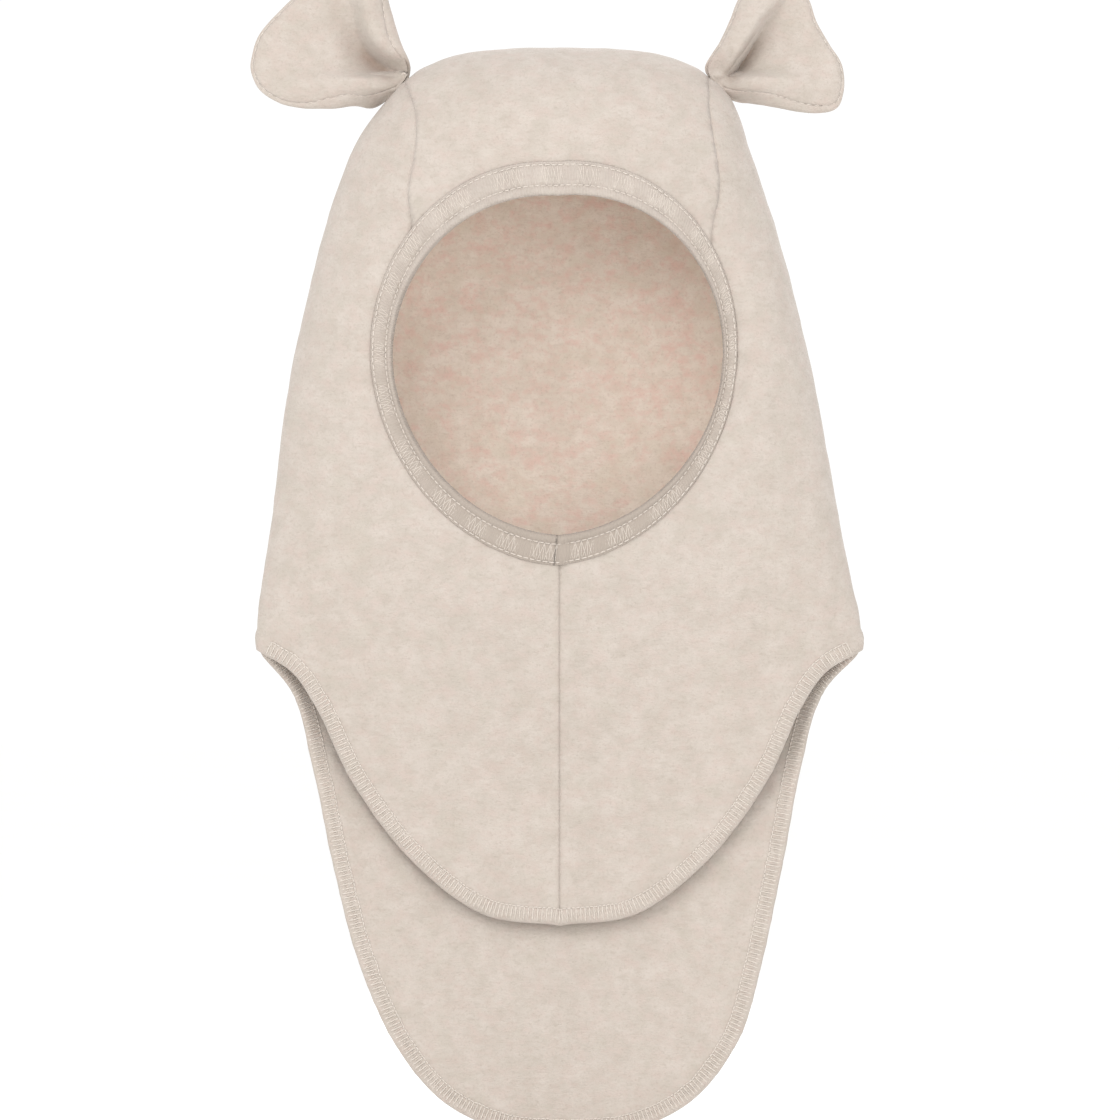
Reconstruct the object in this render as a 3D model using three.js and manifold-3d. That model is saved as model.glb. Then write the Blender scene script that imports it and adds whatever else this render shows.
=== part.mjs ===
// A child's balaclava with ears, sewn from brushed wool fleece, in millimetres.
// +Z is up and the face looks along -Y. Left and right are as seen from the front.
// The origin is the inside of the crown, where the hood rests on the top of a head.
import * as THREE from "three";
import { mergeVertices } from "three/addons/utils/BufferGeometryUtils.js";
import Module from "manifold-3d";

// ---- Driving dimensions ----------------------------------------------------------------------
const clothThickness = 3;
const clearance = 0.4; // between pieces that lie on each other
const gripClearance = 0.65; // inside a strip that is folded round an edge of the cloth
const seamGap = 0.3; // between two panels that are sewn edge to edge

// Widths of the hood seen from the front, and how far below the crown top each is measured
const crownWidth = 122; // between the crown seams
const crownCornerDrop = 12.6;
const templeWidth = 172;
const templeDrop = 59;
const cheekWidth = 208;
const cheekDrop = 129;
const shoulderWidth = 243; // between the tips of the shoulder notches
const shoulderDrop = 241;

// Lengths from the crown top to the lowest point of each hem
const bibLength = 351.6;
const flapLength = 436;

// Depth of the filled-out hood in front of and behind the side folds
const domeHeight = 40;
const foreheadDepth = 41;
const chinDepth = 33;
const nuchalDepth = 45;
const neckDepth = 25;
const hangingGap = 18; // from the front of the bib to the back of the flap, at the bib hem

// Face opening, measured inside the binding, and the middle of it below the crown top
const faceWidth = 132.4;
const faceHeight = 136;
const faceDrop = 127.2;
const bindingWidth = 12;
const bindingThickness = 1.4;
const needleSpacing = 5;

const hemStitchDepth = 5;
const hemStitchThickness = 0.7;
const stitchStop = 10; // from the shoulder tips
const seamAllowance = 3; // to each side of a seam
const seamThreadThickness = 1.2;
const threadRadius = 0.5;

const earLayerThickness = 2.6;
const earRootWidth = 16;
const earPleatDepth = 9;
const earSetback = 2; // of the ear's front behind the hinge at the root, and again at the rim
const rimThreadRadius = 0.7;
const tackRadius = 2.4;
const tackLength = 16;

const labelWidth = 24;
const labelHeight = 34;
const labelDrop = 226; // from the crown top to the top of the label
const labelThickness = 0.6;

// ---- Resolution of the curved surfaces -------------------------------------------------------
const ringCount = 30;
const ringSegments = 44;
const openingSegments = 48;
const hemSegments = 40;
const seamSegments = 18;

const reach = 300; // further out than any part of the hood

const wasm = await Module();
wasm.setup();

// ---- Solids from loops, and joins and cuts ---------------------------------------------------

// Skins a row of closed loops with equally many points. The two ends are closed by pairing each
// point of the loop's first half with its partner in the second half, unless the row is joined.
function loft(loops, joined = false) {
  const size = loops[0].length;
  const positions = loops.flat().flatMap((point) => point.toArray());
  const triangles = [];
  const rows = joined ? loops.length : loops.length - 1;
  for (let row = 0; row < rows; row += 1) {
    const next = (row + 1) % loops.length;
    for (let i = 0; i < size; i += 1) {
      const a = row * size + i;
      const b = row * size + ((i + 1) % size);
      const c = next * size + ((i + 1) % size);
      const d = next * size + i;
      triangles.push(a, b, c, a, c, d);
    }
  }
  if (!joined) {
    const last = (loops.length - 1) * size;
    for (let i = 0; i < size / 2 - 1; i += 1) {
      const [a, b, c, d] = [i, i + 1, size - 2 - i, size - 1 - i];
      triangles.push(a, c, b, a, d, c);
      triangles.push(last + a, last + b, last + c, last + a, last + c, last + d);
    }
  }
  const geometry = new THREE.BufferGeometry();
  geometry.setAttribute("position", new THREE.Float32BufferAttribute(positions, 3));
  geometry.setIndex(signedVolume(positions, triangles) < 0 ? triangles.reverse() : triangles);
  return geometry;
}

function signedVolume(positions, triangles) {
  const corner = (index) => new THREE.Vector3().fromArray(positions, 3 * index);
  let volume = 0;
  for (let i = 0; i < triangles.length; i += 3) {
    const [a, b, c] = [0, 1, 2].map((k) => corner(triangles[i + k]));
    volume += a.dot(b.cross(c)) / 6;
  }
  return volume;
}

function toSolid(geometry) {
  const bare = geometry.clone();
  bare.deleteAttribute("normal");
  bare.deleteAttribute("uv");
  const merged = mergeVertices(bare, 1e-3);
  return new wasm.Manifold(
    new wasm.Mesh({
      numProp: 3,
      vertProperties: merged.attributes.position.array,
      triVerts: new Uint32Array(merged.index.array),
    }),
  );
}

function toGeometry(solid) {
  const mesh = solid.getMesh();
  const geometry = new THREE.BufferGeometry();
  geometry.setAttribute("position", new THREE.BufferAttribute(mesh.vertProperties, 3));
  geometry.setIndex(new THREE.BufferAttribute(mesh.triVerts, 1));
  return geometry;
}

// ---- The outer form of the hood --------------------------------------------------------------

// A smooth function through a few [input, output] points, level beyond both ends.
function smoothThrough(points) {
  const slopes = points.map((point, i) => {
    if (i === 0 || i === points.length - 1) return 0;
    const [before, after] = [points[i - 1], points[i + 1]];
    return (after[1] - before[1]) / (after[0] - before[0]);
  });
  return (input) => {
    const last = points.length - 1;
    if (input <= points[0][0]) return points[0][1];
    if (input >= points[last][0]) return points[last][1];
    const i = points.findIndex((point) => point[0] > input) - 1;
    const span = points[i + 1][0] - points[i][0];
    const s = (input - points[i][0]) / span;
    const rise = points[i + 1][1] - points[i][1];
    const bend = slopes[i] * span * s * (1 - s) ** 2 - slopes[i + 1] * span * s ** 2 * (1 - s);
    return points[i][1] + rise * s ** 2 * (3 - 2 * s) + bend;
  };
}

const crownTop = clothThickness; // height of the crown's outside above the origin
const heightAt = (drop) => crownTop - drop;
const dropAt = (height) => crownTop - height;
const centerHeight = heightAt(domeHeight); // middle of the crown dome

// Half of the hood's outline from the crown top, past the shoulder tip, to below the flap.
const cornerIndex = 3;
const outline = new THREE.CatmullRomCurve3(
  [
    [0, 0],
    [0.18 * crownWidth, 0.6],
    [0.36 * crownWidth, 3.8],
    [crownWidth / 2, crownCornerDrop],
    [crownWidth / 2 + 11, crownCornerDrop + 13],
    [templeWidth / 2, templeDrop],
    [cheekWidth / 2, cheekDrop],
    [shoulderWidth / 2, shoulderDrop],
    [shoulderWidth / 2 + 9, bibLength],
    [shoulderWidth / 2 + 14, flapLength + 12],
  ].map(([x, drop]) => new THREE.Vector3(x, 0, heightAt(drop))),
  false,
  "centripetal",
);
const corner = outline.getPoint(cornerIndex / (outline.points.length - 1));
const cornerTangent = outline.getTangent(cornerIndex / (outline.points.length - 1));
const cornerNormal = new THREE.Vector3(-cornerTangent.z, 0, cornerTangent.x);

const frontDepth = smoothThrough([
  [0, foreheadDepth],
  [cheekDrop, foreheadDepth],
  [faceDrop + faceHeight / 2 + bindingWidth, chinDepth],
  [shoulderDrop, neckDepth],
  [bibLength, hangingGap / 2],
]);
const backDepth = smoothThrough([
  [0, nuchalDepth],
  [cheekDrop, nuchalDepth],
  [shoulderDrop, neckDepth],
  [bibLength, hangingGap / 2],
  [flapLength, hangingGap / 2 - 2],
]);
// Level rings are squarer round the head and pointed at the shoulder tips.
const ringPower = smoothThrough([
  [0, 2.2],
  [cheekDrop, 2.2],
  [shoulderDrop, 1.75],
]);

function domeShare(drop) {
  return Math.sqrt(1 - (1 - Math.min(drop / domeHeight, 1)) ** 2);
}

// One level ring of the hood. The inside is the outside moved in by the cloth's thickness.
function ring(place, direction, inset) {
  const drop = dropAt(place.z);
  const share = domeShare(drop);
  const upward = (1 - Math.min(drop / domeHeight, 1)) * 0.5 + direction.x * 0.5;
  const sideways = Math.sqrt(1 - Math.min(upward, 1) ** 2);
  const halfWidth = place.x - inset * sideways;
  const front = frontDepth(drop) * share - inset * sideways;
  const back = backDepth(drop) * share - inset * sideways;
  const power = 2 / ringPower(drop);
  return Array.from({ length: ringSegments }, (_, i) => {
    const angle = (2 * Math.PI * (i + 0.5)) / ringSegments;
    const [c, s] = [Math.cos(angle), Math.sin(angle)];
    return new THREE.Vector3(
      halfWidth * Math.sign(c) * Math.abs(c) ** power,
      (s < 0 ? front : back) * Math.sign(s) * Math.abs(s) ** power,
      place.z - inset * upward,
    );
  });
}

const stations = Array.from({ length: ringCount }, (_, i) => {
  const share = (i + 1) / ringCount;
  return [outline.getPointAt(share), outline.getTangentAt(share)];
});
const outerRings = stations.map(([place, tangent]) => ring(place, tangent, 0));
const innerRings = stations.map(([place, tangent]) => ring(place, tangent, clothThickness));
const shell = loft([...outerRings, ...innerRings.reverse()]);
const shellMesh = new THREE.Mesh(shell, new THREE.MeshBasicMaterial({ side: THREE.DoubleSide }));

// Where a line that comes in from outside meets the cloth's outer and inner face.
const caster = new THREE.Raycaster();
function clothFaces(center, outward) {
  caster.set(center.clone().addScaledVector(outward, reach), outward.clone().negate());
  const hits = caster.intersectObject(shellMesh);
  const outer = hits[0];
  const inner = hits.find((hit) => hit.distance > outer.distance + clothThickness / 5);
  return {
    outer: outer.point,
    outerNormal: outer.face.normal,
    inner: inner.point,
    innerNormal: inner.face.normal,
  };
}

const frontward = new THREE.Vector3(0, -1, 0);
const backward = new THREE.Vector3(0, 1, 0);

// ---- Cutting lines ---------------------------------------------------------------------------

// Extrudes an outline in X and Z through the front half or the back half of the hood, and a
// little past the side folds, where the cuts of the two halves meet.
function prism(points, side) {
  const pastFold = 0.5;
  const shape = new THREE.Shape(points.map(([x, z]) => new THREE.Vector2(x, z)));
  const geometry = new THREE.ExtrudeGeometry(shape, { depth: reach, bevelEnabled: false });
  geometry.rotateX(Math.PI / 2);
  geometry.translate(0, side === backward ? reach - pastFold : pastFold, 0);
  return toSolid(geometry);
}

function smoothLine(points, count) {
  const curve = new THREE.CatmullRomCurve3(
    points.map(([x, z]) => new THREE.Vector3(x, 0, z)),
    false,
    "centripetal",
  );
  return curve.getSpacedPoints(count).map((point) => [point.x, point.z]);
}

const mirrored = (points) => points.map(([x, z]) => [-x, z]);

// The unit vector that points to the left of the way a line runs, at one of its points.
function leftOf(line, i, joined = false) {
  const last = line.length - 1;
  const [ax, az] = line[i > 0 ? i - 1 : joined ? last : 0];
  const [bx, bz] = line[i < last ? i + 1 : joined ? 0 : last];
  const length = Math.hypot(bx - ax, bz - az);
  return [-(bz - az) / length, (bx - ax) / length];
}

// A narrow slot along a line, which parts two panels.
function slot(line, side) {
  const shifted = (sign) =>
    line.map(([x, z], i) => {
      const [dx, dz] = leftOf(line, i);
      return [x + (sign * seamGap * dx) / 2, z + (sign * seamGap * dz) / 2];
    });
  return prism([...shifted(-1), ...shifted(1).reverse()], side);
}

const faceCenter = heightAt(faceDrop);
const bindingGrip = bindingThickness + gripClearance; // from the visible rim to the panels' edge
function faceEllipse(grow) {
  return Array.from({ length: openingSegments }, (_, i) => {
    const angle = (2 * Math.PI * i) / openingSegments;
    return [
      -(faceWidth / 2 + grow) * Math.sin(angle),
      faceCenter + (faceHeight / 2 + grow) * Math.cos(angle),
    ];
  });
}

const tip = [shoulderWidth / 2, heightAt(shoulderDrop)];
const bibBottom = heightAt(bibLength);
const flapBottom = heightAt(flapLength);

// A hem runs from the right shoulder tip down to the middle and is mirrored to the left.
function hemLine(rightHalf) {
  const right = smoothLine(rightHalf, hemSegments / 2);
  return [...right, ...mirrored(right).reverse().slice(1)];
}
const bibHem = hemLine([
  tip,
  [tip[0] - 14, tip[1] - 9.5],
  [tip[0] - 24, tip[1] - 24],
  [tip[0] * 0.69, bibBottom + 0.525 * (tip[1] - bibBottom)],
  [tip[0] * 0.49, bibBottom + 0.235 * (tip[1] - bibBottom)],
  [tip[0] * 0.25, bibBottom + 0.04 * (tip[1] - bibBottom)],
  [0, bibBottom],
]);
const flapHem = hemLine([
  tip,
  [tip[0] - 14.5, tip[1] - 18],
  [tip[0] - 23.5, tip[1] - 49],
  [tip[0] - 31.5, tip[1] - 88],
  [tip[0] * 0.66, flapBottom + 0.343 * (tip[1] - flapBottom)],
  [tip[0] * 0.565, flapBottom + 0.19 * (tip[1] - flapBottom)],
  [tip[0] * 0.41, flapBottom + 0.072 * (tip[1] - flapBottom)],
  [tip[0] * 0.21, flapBottom + 0.013 * (tip[1] - flapBottom)],
  [0, flapBottom],
]);

// Everything below a hem, out past the shoulder tips.
function belowHem(hem, side) {
  const floor = flapBottom - reach;
  return prism([[reach, tip[1]], ...hem, [-reach, tip[1]], [-reach, floor], [reach, floor]], side);
}

const crownSeamX = crownWidth / 2;
const seamBehindTip = 10; // the back seam meets the hem a little behind the side fold
const aboveCrown = crownTop + 20;
const frontSeam = [
  [crownSeamX, aboveCrown],
  [crownSeamX, faceCenter],
];
const backSeam = [
  [crownSeamX, aboveCrown],
  ...smoothLine(
    [
      [crownSeamX, centerHeight],
      [crownSeamX + 12, heightAt(templeDrop + 34)],
      [crownSeamX + 24, heightAt(cheekDrop + 14)],
      [tip[0] - 20, tip[1] + 43],
      [tip[0] - seamBehindTip, tip[1]],
    ],
    seamSegments,
  ),
  [tip[0] - seamBehindTip, tip[1] - 40],
];
const centerSeam = [
  [0, faceCenter],
  [0, bibBottom - 20],
];

const cuts = [
  prism(faceEllipse(bindingGrip), frontward),
  belowHem(bibHem, frontward),
  belowHem(flapHem, backward),
  slot(frontSeam, frontward),
  slot(mirrored(frontSeam), frontward),
  slot(backSeam, backward),
  slot(mirrored(backSeam), backward),
  slot(centerSeam, frontward),
];
const panels = cuts
  .reduce((cloth, cut) => cloth.subtract(cut), toSolid(shell))
  .decompose()
  .map((solid) => ({ solid, middle: middleOf(solid) }))
  .sort((a, b) => a.middle - b.middle);

function middleOf(solid) {
  const box = solid.boundingBox();
  return (box.min[0] + box.max[0]) / 2;
}

// ---- Pieces that follow the cloth ------------------------------------------------------------

// A folded strip that grips an edge of the cloth: its two legs lie on the outer and inner face.
function edgeStrip(line, side, width, thickness, joined) {
  const near = gripClearance;
  const far = gripClearance + thickness;
  const loops = line.map(([x, z], i) => {
    const [dx, dz] = leftOf(line, i, joined);
    const faces = (inward) =>
      clothFaces(new THREE.Vector3(x - dx * inward, 0, z - dz * inward), side);
    const outside = (inward, lift) => {
      const { outer, outerNormal } = faces(inward);
      return outer.clone().addScaledVector(outerNormal, lift);
    };
    const inside = (inward, lift) => {
      const { inner, innerNormal } = faces(inward);
      return inner.clone().addScaledVector(innerNormal, lift);
    };
    return [
      outside(width, far),
      outside(width / 2, far),
      outside(-far, far),
      inside(-far, far),
      inside(width / 2, far),
      inside(width, far),
      inside(width, near),
      inside(width / 2, near),
      inside(-near, near),
      outside(-near, near),
      outside(width / 2, near),
      outside(width, near),
    ];
  });
  return loft(loops, joined);
}

// A thread that runs round the face opening on top of the binding.
function openingThread(distance) {
  const sides = 4;
  const lift = bindingGrip + clearance + threadRadius;
  const loops = faceEllipse(distance).map(([x, z]) => {
    const radial = new THREE.Vector3(x, 0, z - faceCenter).normalize();
    const { outer, outerNormal } = clothFaces(new THREE.Vector3(x, 0, z), frontward);
    const middle = outer.clone().addScaledVector(outerNormal, lift);
    return Array.from({ length: sides }, (_, i) => {
      const angle = (2 * Math.PI * i) / sides;
      return middle
        .clone()
        .addScaledVector(radial, threadRadius * Math.cos(angle))
        .addScaledVector(outerNormal, threadRadius * Math.sin(angle));
    });
  });
  return loft(loops, true);
}

// The overlocked seam allowance on the inside of a seam. Each place has the point that the
// outward line starts from, that line's direction, and the direction across the seam.
function seamStrip(places) {
  const loops = places.map(({ center, outward, across }) => {
    const columns = [-seamAllowance, 0, seamAllowance].map((shift) =>
      clothFaces(center.clone().addScaledVector(across, shift), outward),
    );
    const lifted = (lift) =>
      columns.map(({ inner, innerNormal }) => inner.clone().addScaledVector(innerNormal, lift));
    const far = clearance + seamThreadThickness;
    return [...lifted(clearance), ...lifted(far).reverse()];
  });
  return loft(loops);
}

const bindingReach = bindingGrip + bindingWidth; // from the face rim to the binding's far edge
const stripEnd = 2 * clearance;
const archOverlap = 5; // the back of the seam starts this far below the middle of the dome
const seamTailDrop = 30; // it ends this far above the shoulder tip

// From the binding up the forehead, over the crown and down the back to the shoulder.
function crownSeamPlaces(sign) {
  const across = new THREE.Vector3(1, 0, 0);
  const x = sign * crownSeamX;
  const center = new THREE.Vector3(x, 0, centerHeight);
  const halfOpening = faceHeight / 2 + bindingReach;
  const innerShare = (crownSeamX - 2 * seamAllowance) / (faceWidth / 2 + bindingReach);
  const bindingTop = faceCenter + halfOpening * Math.sqrt(1 - innerShare ** 2) + stripEnd;
  const places = [];
  const foreheadSteps = 4;
  for (let i = 0; i < foreheadSteps; i += 1) {
    const z = bindingTop + ((centerHeight - bindingTop) * i) / foreheadSteps;
    places.push({ center: new THREE.Vector3(x, 0, z), outward: frontward, across });
  }
  const archSteps = 12;
  for (let i = 0; i <= archSteps; i += 1) {
    const angle = (Math.PI * i) / archSteps;
    const outward = new THREE.Vector3(0, -Math.cos(angle), Math.sin(angle));
    places.push({ center, outward, across });
  }
  backSeam.forEach(([seamX, z], i) => {
    const clearOfArch = z < centerHeight - archOverlap;
    const clearOfTip = z > tip[1] + seamTailDrop;
    if (!clearOfArch || !clearOfTip) return;
    const farSide = new THREE.Vector3(sign * (seamX + seamAllowance), 0, z);
    const clearOfFold = clothFaces(farSide, backward).inner.y > clothThickness;
    if (!clearOfFold) return;
    const [dx, dz] = leftOf(backSeam, i);
    places.push({
      center: new THREE.Vector3(sign * seamX, 0, z),
      outward: backward,
      across: new THREE.Vector3(dx, 0, sign * dz),
    });
  });
  return places;
}

function centerSeamPlaces() {
  const top = faceCenter - faceHeight / 2 - bindingReach - stripEnd;
  const bottom = bibBottom + hemStitchDepth + stripEnd;
  return Array.from({ length: seamSegments }, (_, i) => ({
    center: new THREE.Vector3(0, 0, top + ((bottom - top) * i) / (seamSegments - 1)),
    outward: frontward,
    across: new THREE.Vector3(1, 0, 0),
  }));
}

// A hem's stitches stop short of the shoulder tips, where the cloth turns round the side.
function hemStitch(hem, side) {
  const line = hem.filter(([x]) => Math.abs(x) < tip[0] - stitchStop);
  return edgeStrip(line, side, hemStitchDepth, hemStitchThickness, false);
}

// A blank label that lies on the inside of the back.
function careLabel() {
  const steps = 4;
  const loops = Array.from({ length: steps + 1 }, (_, row) => {
    const z = heightAt(labelDrop) - (labelHeight * row) / steps;
    const columns = Array.from({ length: steps + 1 }, (_, i) =>
      clothFaces(new THREE.Vector3(labelWidth * (i / steps - 0.5), 0, z), backward),
    );
    const lifted = (lift) =>
      columns.map(({ inner, innerNormal }) => inner.clone().addScaledVector(innerNormal, lift));
    return [...lifted(clearance), ...lifted(clearance + labelThickness).reverse()];
  });
  return loft(loops);
}

// ---- Ears ------------------------------------------------------------------------------------

// The ear hinges on its root tack, which sits on the crown seam at the corner of the crown.
const hinge = clothFaces(corner, cornerNormal).outer;
hinge.addScaledVector(cornerNormal, tackRadius + clearance);

// The rim of each ear as [outward, upward] from the hinge, from the lower lobe to the upper lobe.
const earRims = {
  left: [
    [41, -11.5],
    [53, -8.5],
    [59, -1],
    [58.5, 6],
    [55, 16],
    [43.5, 30],
    [33, 41],
    [22, 46],
    [13, 42],
  ],
  right: [
    [39, -13.6],
    [47, -11],
    [50, -4],
    [48, 5],
    [41.5, 17],
    [36, 29],
    [32, 40],
    [24, 46],
    [15, 41],
  ],
};
const earRadialSteps = 6;
const earRimSteps = 16;
const valleyShare = 0.62; // where the pleat's valley lies, from the lower to the upper lobe

function earSurface(name) {
  const sign = name === "left" ? -1 : 1;
  const rim = new THREE.CatmullRomCurve3(
    earRims[name].map(([out, up]) => new THREE.Vector3(out, 0, up)),
    false,
    "centripetal",
  );
  const along = new THREE.Vector3(-cornerNormal.z, 0, cornerNormal.x);
  const rootMiddle = cornerNormal.clone().multiplyScalar(tackRadius + clearance);
  return (radial, share) => {
    const root = rootMiddle.clone().addScaledVector(along, earRootWidth * (share - 0.5));
    const point = root.lerp(rim.getPointAt(share), radial);
    const spread = Math.min(Math.abs(share - valleyShare) / (1 - valleyShare), 1);
    const valley = 0.5 + 0.5 * Math.cos(Math.PI * spread);
    const depth = earPleatDepth * (0.55 + 0.6 * Math.sin(Math.PI * radial) - 0.2 * radial);
    const y = depth * valley - earSetback * (1 + radial);
    return new THREE.Vector3(sign * point.x, y, point.z);
  };
}

// One layer of an ear, between its outside and the side that faces the other layer, each at a
// distance behind the ear's front. The facing sides are skinned alike, so the gap stays even.
function earLayer(surface, outsideY, facingY) {
  const loops = Array.from({ length: earRimSteps + 1 }, (_, i) => {
    const share = i / earRimSteps;
    const line = Array.from({ length: earRadialSteps + 1 }, (_, k) =>
      surface(k / earRadialSteps, share),
    );
    const shifted = (y) => line.map((point) => point.clone().setY(point.y + y));
    return [...shifted(outsideY), ...shifted(facingY).reverse()];
  });
  return loft(loops);
}

// The thread that closes the two layers along the rim.
function earRimThread(surface) {
  const sides = 4;
  const layersMiddle = earLayerThickness + clearance / 2;
  const loops = Array.from({ length: earRimSteps - 1 }, (_, i) => {
    const share = (i + 1) / earRimSteps;
    const before = surface(1, i / earRimSteps);
    const after = surface(1, (i + 2) / earRimSteps);
    const out = new THREE.Vector3(before.z - after.z, 0, after.x - before.x).normalize();
    const middle = surface(1, share);
    if (out.dot(middle.clone().sub(surface(0.8, share))) < 0) out.negate();
    middle.addScaledVector(out, rimThreadRadius + clearance);
    middle.y += layersMiddle;
    return Array.from({ length: sides }, (_, k) => {
      const angle = (2 * Math.PI * k) / sides;
      const point = middle.clone().addScaledVector(out, rimThreadRadius * Math.cos(angle));
      point.y += rimThreadRadius * Math.sin(angle);
      return point;
    });
  });
  return loft(loops);
}

// ---- Materials and assembly ------------------------------------------------------------------

const fleece = { color: 0xd9cec3, roughness: 0.95, metalness: 0 };
const lining = { color: 0xdcd1c7, roughness: 0.95, metalness: 0 };
const knit = { color: 0xd6cabd, roughness: 0.9, metalness: 0 };
const thread = { color: 0xe2d8cc, roughness: 0.7, metalness: 0 };
const label = { color: 0xf2efe9, roughness: 0.6, metalness: 0 };

const balaclava = new THREE.Group();

function add(name, geometry, finish, parent = balaclava) {
  const mesh = new THREE.Mesh(geometry, new THREE.MeshStandardMaterial(finish));
  mesh.name = name;
  parent.add(mesh);
}

["left_side_panel", "crown_back_panel", "right_side_panel"].forEach((name, i) =>
  add(name, toGeometry(panels[i].solid), fleece),
);
add(
  "face_binding",
  edgeStrip(faceEllipse(bindingGrip), frontward, bindingWidth, bindingThickness, true),
  knit,
);
add("binding_outer_stitch", openingThread(bindingReach - 2), thread);
add("binding_inner_stitch", openingThread(bindingReach - 2 - needleSpacing), thread);
add("left_crown_seam", seamStrip(crownSeamPlaces(-1)), thread);
add("right_crown_seam", seamStrip(crownSeamPlaces(1)), thread);
add("center_front_seam", seamStrip(centerSeamPlaces()), thread);
add("bib_hem_stitch", hemStitch(bibHem, frontward), thread);
add("flap_hem_stitch", hemStitch(flapHem, backward), thread);
add("care_label", careLabel(), label);

for (const name of ["left", "right"]) {
  const sign = name === "left" ? -1 : 1;
  const ear = new THREE.Group();
  ear.position.set(sign * hinge.x, 0, hinge.z);
  balaclava.add(ear);
  const surface = earSurface(name);
  const backStart = earLayerThickness + clearance;
  add(`${name}_ear_lining`, earLayer(surface, 0, earLayerThickness), lining, ear);
  add(`${name}_ear_back`, earLayer(surface, backStart + earLayerThickness, backStart), fleece, ear);
  add(`${name}_ear_rim_seam`, earRimThread(surface), thread, ear);
  const tack = new THREE.CapsuleGeometry(tackRadius, tackLength - 2 * tackRadius, 4, 10);
  add(`${name}_ear_root_tack`, tack, thread, ear);
}

export default balaclava;
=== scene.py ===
import bpy
import numpy as np
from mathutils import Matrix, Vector, noise
from mathutils.bvhtree import BVHTree


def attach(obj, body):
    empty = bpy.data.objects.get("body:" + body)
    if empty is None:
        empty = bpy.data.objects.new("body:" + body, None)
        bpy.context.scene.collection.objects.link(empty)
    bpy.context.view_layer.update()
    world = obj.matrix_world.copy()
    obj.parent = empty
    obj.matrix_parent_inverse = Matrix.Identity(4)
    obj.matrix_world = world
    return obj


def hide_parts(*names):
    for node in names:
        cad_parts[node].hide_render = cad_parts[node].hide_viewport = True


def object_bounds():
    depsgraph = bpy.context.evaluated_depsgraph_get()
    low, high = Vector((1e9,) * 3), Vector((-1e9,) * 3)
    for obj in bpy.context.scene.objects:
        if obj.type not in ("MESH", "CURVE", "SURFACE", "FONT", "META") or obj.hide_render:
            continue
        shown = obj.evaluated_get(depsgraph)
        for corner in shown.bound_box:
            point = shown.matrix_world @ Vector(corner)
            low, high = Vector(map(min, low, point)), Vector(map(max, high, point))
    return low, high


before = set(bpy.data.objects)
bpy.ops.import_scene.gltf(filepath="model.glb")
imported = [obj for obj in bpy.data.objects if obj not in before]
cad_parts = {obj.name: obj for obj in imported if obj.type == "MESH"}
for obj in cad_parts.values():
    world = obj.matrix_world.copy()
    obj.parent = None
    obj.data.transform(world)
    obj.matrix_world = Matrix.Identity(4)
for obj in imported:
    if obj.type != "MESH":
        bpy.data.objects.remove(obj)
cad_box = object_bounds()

MM = 0.001

# ---- Sizes, in millimetres ---------------------------------------------------------------------
CLOTH = 3.0
CROWN_TOP = CLOTH  # the origin is the inside of the crown
DOME_HEIGHT = 40.0
OUTLINE = [  # half width and drop below the crown top
    (0, 0), (22, 0.6), (43.9, 3.8), (61, 12.6), (72, 25.6), (86, 59), (104, 129),
    (113.4, 188), (121.9, 241), (130.5, 351.6), (135.5, 448),
]
LEAN = [  # how far the soft cloth lies to the right of the middle, by drop
    (18, 0), (40, -3.3), (100, -3.4), (140, -3.0), (180, -1.9), (215, -1.0), (241, 0), (262, -1.4),
    (300, -1.0), (350, -0.3), (372, 0.7), (396, 2.4), (436, 3.0),
]
FRONT_DEPTH = [(0, 41), (129, 41), (207.2, 33), (241, 25), (351.6, 9)]
BACK_DEPTH = [(0, 45), (129, 45), (241, 25), (351.6, 9), (436, 7)]
RING_POWER = [(0, 2.2), (129, 2.2), (241, 1.75)]
# How much nearer the bib and the flap hang to each other than the rigid part's, by drop
BIB_CLOSING = [(228, 0), (260, 2.6), (292, 5.4), (350, 3.5), (436, 3.5)]

TIP = (121.9, -238.8)
BIB_HEM = [
    TIP, (107.5, -247.5), (97.5, -262), (83.8, -290.5), (59.5, -322.6), (30.4, -344.2), (0, -348.6),
]
FLAP_HEM = [
    TIP, (107, -256), (98, -287), (90, -326), (80.2, -366.1), (68.6, -396), (49.8, -419),
    (25.5, -430.5), (0, -433),
]
CORNER_FILL = 1.1  # how far the front panels meet past the middle at the hem
CORNER_FROM, CORNER_TO = -341.0, -346.5  # heights between which they begin to
HEM_ROUND = 0.9  # the rounded edge of the cloth past its cut
STITCH_NEAR, STITCH_FAR = 1.5, 6.9  # where the hem's stitches start and end, from its edge

RIM_CENTER, RIM_RADII = (-0.6, -124.6), (65.9, 67.6)
BAND_CENTER, BAND_RADII = (-1.9, -123.9), (73.0, 80.3)
EGG = (0.075, 0.02)  # how much wider the opening is above than below, and at the upper right
CLOTH_CUT = 2.05  # from the rim of the face opening to the cloth's edge inside the binding
FACE_ROLL = {-1: 8.0, 1: 10.5}  # how far the cloth turns in at the two sides of the opening
ROLL_REACH = 10.0

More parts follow.
